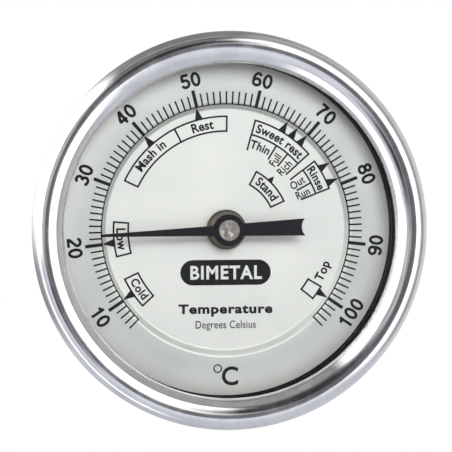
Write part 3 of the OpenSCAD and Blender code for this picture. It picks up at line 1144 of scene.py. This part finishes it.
bm = bmesh.new()
columns(bm, fitting_column, 144)
settle(bm, "fitting", FITTING, "fitting", ["connection_fitting"], 28)

NUT_TOP = front("lock_nut")
NUT_LOW = back("lock_nut")
NUT_AF = 19.05
NUT_BORE = 6.4


def nut_column(a):
    return [
        (NUT_BORE, NUT_LOW + 0.45),
        (NUT_BORE + 0.45, NUT_LOW),
        *hex_rows(a, NUT_AF, NUT_LOW, NUT_TOP, True, True),
        (NUT_BORE + 0.45, NUT_TOP),
        (NUT_BORE, NUT_TOP - 0.45),
    ]


bm = bmesh.new()
columns(bm, nut_column, 144)
settle(bm, "nut", NUT, "nut", ["lock_nut"], 28)

WASHER_TOP = front("flat_washer")
WASHER_LOW = back("flat_washer")
WASHER_R = radius("flat_washer")
lathe(
    "washer",
    rounded(
        [
            (6.65, WASHER_LOW, 0.15),
            (WASHER_R, WASHER_LOW, 0.3),
            (WASHER_R, WASHER_TOP, 0.3),
            (6.65, WASHER_TOP, 0.15),
        ]
    ),
    NUT,
    "washer",
    ["flat_washer"],
    144,
)

# ---------------------------------------------------------------- stem

STEM_R = 3.175
STEM_LOW = back("stem_tip_plug")
lathe(
    "stem",
    [
        (0, STEM_LOW),
        *arc(STEM_R - 1.4, STEM_LOW + 1.4, 1.4, -90, 0, 10),
        (STEM_R, STEM_LOW + 2.42),
        (STEM_R - 0.04, STEM_LOW + 2.5),
        (STEM_R, STEM_LOW + 2.58),
        (STEM_R, SHANK_END - 0.02),
        (2.98, SHANK_END - 0.02),
        (2.98, -1.0),
        (2.675, -1.0),
        (2.675, STEM_LOW + 4.5),
        (0, STEM_LOW + 4.5),
    ],
    STEM,
    "fitting",
    ["stem_tube", "stem_tip_plug"],
    96,
)


def weld_bead():
    """A rippled bead that closes the end of the shank round the stem."""
    bm = bmesh.new()

    def column(a):
        ripple = 0.05 * math.sin(a * 46)
        r = 0.55 + ripple
        return [(STEM_R - 0.1, SHANK_END + 0.05)] + [
            (STEM_R - 0.02 + r * math.cos(t), SHANK_END + 0.02 - r * 0.8 * math.sin(t))
            for t in (math.radians(v) for v in range(0, 91, 15))
        ]

    columns(bm, column, 276)
    settle(bm, "weld_bead", STEM, "fitting", (), 60)


weld_bead()

# ---------------------------------------------------------------- stage, light and camera

floor_mesh = bpy.data.meshes.new("floor")
low = cad_box[0].z - 0.26
floor_mesh.from_pydata(
    [(-2.5, -1.6, low), (2.5, -1.6, low), (2.5, 1.15, low), (-2.5, 1.15, low)],
    [],
    [(0, 1, 2, 3)],
)
floor = bpy.data.objects.new("floor", floor_mesh)
scene.collection.objects.link(floor)
floor.visible_glossy = False
pale = Nodes("floor_pale", (0.60, 0.61, 0.65), 0.9)
floor_mesh.materials.append(pale.material)


def studio():
    """A photographer's tent: white walls at the sides, a grey gap above, a pale table below
    and a dark opening in front, where the camera stands."""
    world = bpy.data.worlds.new("studio")
    scene.world = world
    world.use_nodes = True
    tree = world.node_tree
    tree.nodes.clear()
    link = tree.links.new

    def new(kind, operation=None, **values):
        made = tree.nodes.new(kind)
        if operation:
            made.operation = operation
        for key, value in values.items():
            slot = made.inputs[int(key[1:])]
            if isinstance(value, bpy.types.NodeSocket):
                link(value, slot)
            else:
                slot.default_value = value
        return made

    def ramp(factor, stops):
        made = new("ShaderNodeValToRGB", i0=factor)
        fill(made, stops)
        return made.outputs[0]

    def blend(factor, one, two, kind="MIX"):
        made = tree.nodes.new("ShaderNodeMix")
        made.data_type = "RGBA"
        made.blend_type = kind
        for key, value in (("Factor", factor), ("A", one), ("B", two)):
            if isinstance(value, bpy.types.NodeSocket):
                link(value, made.inputs[key])
            else:
                made.inputs[key].default_value = value
        return made.outputs["Result"]

    way = new("ShaderNodeTexCoord").outputs["Generated"]
    parts = new("ShaderNodeSeparateXYZ", i0=way).outputs
    turn = new("ShaderNodeMath", "ARCTAN2", i0=parts[2], i1=parts[0]).outputs[0]
    turn = new("ShaderNodeMath", "MULTIPLY_ADD", i0=turn, i1=0.5 / math.pi, i2=0.5).outputs[0]
    ahead = new("ShaderNodeVectorMath", "DOT_PRODUCT", i0=way, i1=(0, -1, 0)).outputs["Value"]
    off = new("ShaderNodeMath", "ARCCOSINE", i0=ahead).outputs[0]
    off = new("ShaderNodeMath", "DIVIDE", i0=off, i1=math.pi).outputs[0]

    def by_angle(*stops):
        return ramp(off, [(a / 180, c) for a, c in stops])

    def by_turn(*stops):
        return ramp(turn, [((a + 180) / 360, c) for a, c in stops])

    def spot(azimuth, elevation, wide, soft):
        """1 inside a round patch of the surroundings, 0 outside it."""
        a, e = math.radians(azimuth), math.radians(elevation)
        to = (math.sin(a) * math.cos(e), -math.cos(a) * math.cos(e), math.sin(e))
        near = new("ShaderNodeVectorMath", "DOT_PRODUCT", i0=way, i1=to).outputs["Value"]
        edge = [math.cos(math.radians(wide + k * soft)) for k in (1, -1)]
        return new("ShaderNodeMapRange", i0=near, i1=edge[0], i2=edge[1]).outputs[0]

    white = (1.9, 1.9, 1.88)
    right_wall = by_angle(
        (0, white),
        (46, white),
        (53, (0.80, 0.80, 0.80)),
        (59, (0.58, 0.58, 0.58)),
        (65, (0.38, 0.38, 0.38)),
        (74, (0.34, 0.34, 0.34)),
        (84, (0.44, 0.44, 0.44)),
        (93, (0.64, 0.64, 0.64)),
    )
    gap = by_angle(
        (0, (0.30, 0.30, 0.30)),
        (36, (0.13, 0.128, 0.125)),
        (44, (0.17, 0.165, 0.16)),
        (66, (0.20, 0.19, 0.18)),
        (72, (0.34, 0.34, 0.33)),
        (78, (0.30, 0.30, 0.29)),
        (85, (0.21, 0.20, 0.19)),
        (92, (0.22, 0.21, 0.20)),
    )
    table = by_angle(
        (0, (0.82, 0.83, 0.90)),
        (30, (0.76, 0.77, 0.84)),
        (42, (0.66, 0.67, 0.73)),
        (56, (0.60, 0.61, 0.67)),
        (80, (0.60, 0.61, 0.66)),
        (100, (0.58, 0.59, 0.64)),
    )
    mottle = new("ShaderNodeTexNoise", i0=way)
    mottle.inputs["Scale"].default_value = 9
    mottle.inputs["Detail"].default_value = 5
    patchy = new("ShaderNodeMapRange", i0=mottle.outputs["Fac"], i1=0.3, i2=0.7, i3=0.55, i4=1.5)
    gap = blend(1.0, gap, patchy.outputs[0], "MULTIPLY")
    up, down = (1, 1, 1), (0, 0, 0)
    left = by_turn((-180, up), (-101, up), (-99, down), (99, down), (101, up), (180, up))
    above = by_turn((-180, down), (68, down), (80, up), (121, up), (129, down), (180, down))
    below = by_turn((-180, down), (-175, down), (-164, up), (-42, up), (-27, down), (180, down))
    strip = by_turn((-180, down), (-172, up), (-108, up), (-96, down), (180, down))
    low_left = by_angle((0, down), (66, down), (69, up), (79, up), (84, down))
    wall = blend(left, right_wall, (*white, 1))
    front_half = blend(below, blend(above, wall, gap), table)
    front_half = blend(blend(1.0, strip, low_left, "MULTIPLY"), front_half, (1.5, 1.5, 1.5, 1))
    haze = blend(1.0, (0.52, 0.52, 0.53, 1), patchy.outputs[0], "MULTIPLY")
    dim = blend(1.0, (0.135, 0.135, 0.15, 1), patchy.outputs[0], "MULTIPLY")
    dusk = blend(1.0, (0.042, 0.040, 0.045, 1), patchy.outputs[0], "MULTIPLY")
    front_half = blend(spot(-16, 5, 21, 3), front_half, haze)
    front_half = blend(spot(0, 21, 14, 4), front_half, dusk)
    front_half = blend(spot(-17, -15, 8, 5), front_half, dusk)
    front_half = blend(spot(2.5, -2, 13, 3), front_half, dim)
    rear = by_turn(
        (-180, (1.2, 1.2, 1.2)),
        (-173, (0.70, 0.70, 0.70)),
        (-165, (0.37, 0.37, 0.38)),
        (-150, (0.30, 0.30, 0.32)),
        (-135, (0.60, 0.61, 0.66)),
        (-90, (0.53, 0.54, 0.59)),
        (-30, (0.68, 0.68, 0.71)),
        (0, (0.72, 0.72, 0.73)),
        (30, (0.60, 0.60, 0.60)),
        (60, (0.40, 0.39, 0.38)),
        (76, (0.26, 0.25, 0.24)),
        (105, (0.215, 0.21, 0.20)),
        (120, (0.30, 0.30, 0.29)),
        (129, (1.3, 1.3, 1.3)),
        (180, (1.3, 1.3, 1.3)),
    )
    behind = new("ShaderNodeMapRange", i0=off, i1=90 / 180, i2=99 / 180).outputs[0]
    light = new("ShaderNodeBackground", i0=blend(behind, front_half, rear), i1=1.0)
    seen = new("ShaderNodeBackground", i0=(1, 1, 1, 1), i1=1.0)
    path = new("ShaderNodeLightPath").outputs["Is Camera Ray"]
    mix = new("ShaderNodeMixShader", i0=path, i1=light.outputs[0], i2=seen.outputs[0])
    new("ShaderNodeOutputWorld", i0=mix.outputs[0])


def fill(ramp, stops):
    """Sets a colour ramp's stops."""
    elements = ramp.color_ramp.elements
    while len(elements) < len(stops):
        elements.new(1.0)
    for element, (at, colour) in zip(elements, stops):
        element.position = at
        element.color = (*colour, 1)


studio()


def softbox(name, at, aim, width, height, power, colour=(1, 1, 1)):
    data = bpy.data.lights.new(name, "AREA")
    data.shape = "RECTANGLE"
    data.size, data.size_y = width, height
    data.energy = power
    data.color = colour
    lamp = bpy.data.objects.new(name, data)
    scene.collection.objects.link(lamp)
    lamp.location = at
    lamp.rotation_euler = (Vector(aim) - Vector(at)).to_track_quat("-Z", "Y").to_euler()
    return lamp


for name, at, wide, tall, power in (
    ("left_light", (-0.16, -0.60, -0.22), 0.24, 0.20, 0.9),
    ("right_light", (0.33, -0.56, -0.18), 0.24, 0.20, 1.2),
):
    lamp = softbox(name, at, (0, -0.02, 0), wide, tall, power)
    lamp.visible_camera = False
    lamp.visible_glossy = False
    lamp.visible_transmission = False

# A lamp above and in front of the dial that lights only the dial: it gives the satin its sheen.
sheen = softbox("dial_light", (0.02, -0.28, 0.12), (0, -0.02, 0), 0.16, 0.10, 0.48)
sheen.visible_camera = False
lit = bpy.data.collections.new("dial_only")
lit.objects.link(dial)
sheen.light_linking.receiver_collection = lit

camera_data = bpy.data.cameras.new("camera")
camera = bpy.data.objects.new("camera", camera_data)
scene.collection.objects.link(camera)
scene.camera = camera
AZIMUTH, ELEVATION, DISTANCE = -9.3, 2.8, 0.6
LENS = 227.4
SHIFT_RIGHT, SHIFT_UP = -1.12, 1.06
a, e = math.radians(AZIMUTH), math.radians(ELEVATION)
to_camera = Vector((math.sin(a) * math.cos(e), -math.cos(a) * math.cos(e), math.sin(e)))
right = Vector((math.cos(a), math.sin(a), 0))
up = right.cross(-to_camera)
widest = place(0, 0, CROWN - ROUND)
target = widest + right * SHIFT_RIGHT * MM + up * SHIFT_UP * MM
camera.location = target + to_camera * DISTANCE
camera.rotation_euler = (-to_camera).to_track_quat("-Z", "Y").to_euler()
camera_data.sensor_width = 36
camera_data.lens = LENS
camera_data.clip_start = 0.01
camera_data.clip_end = 20

scene.view_settings.view_transform = "Standard"
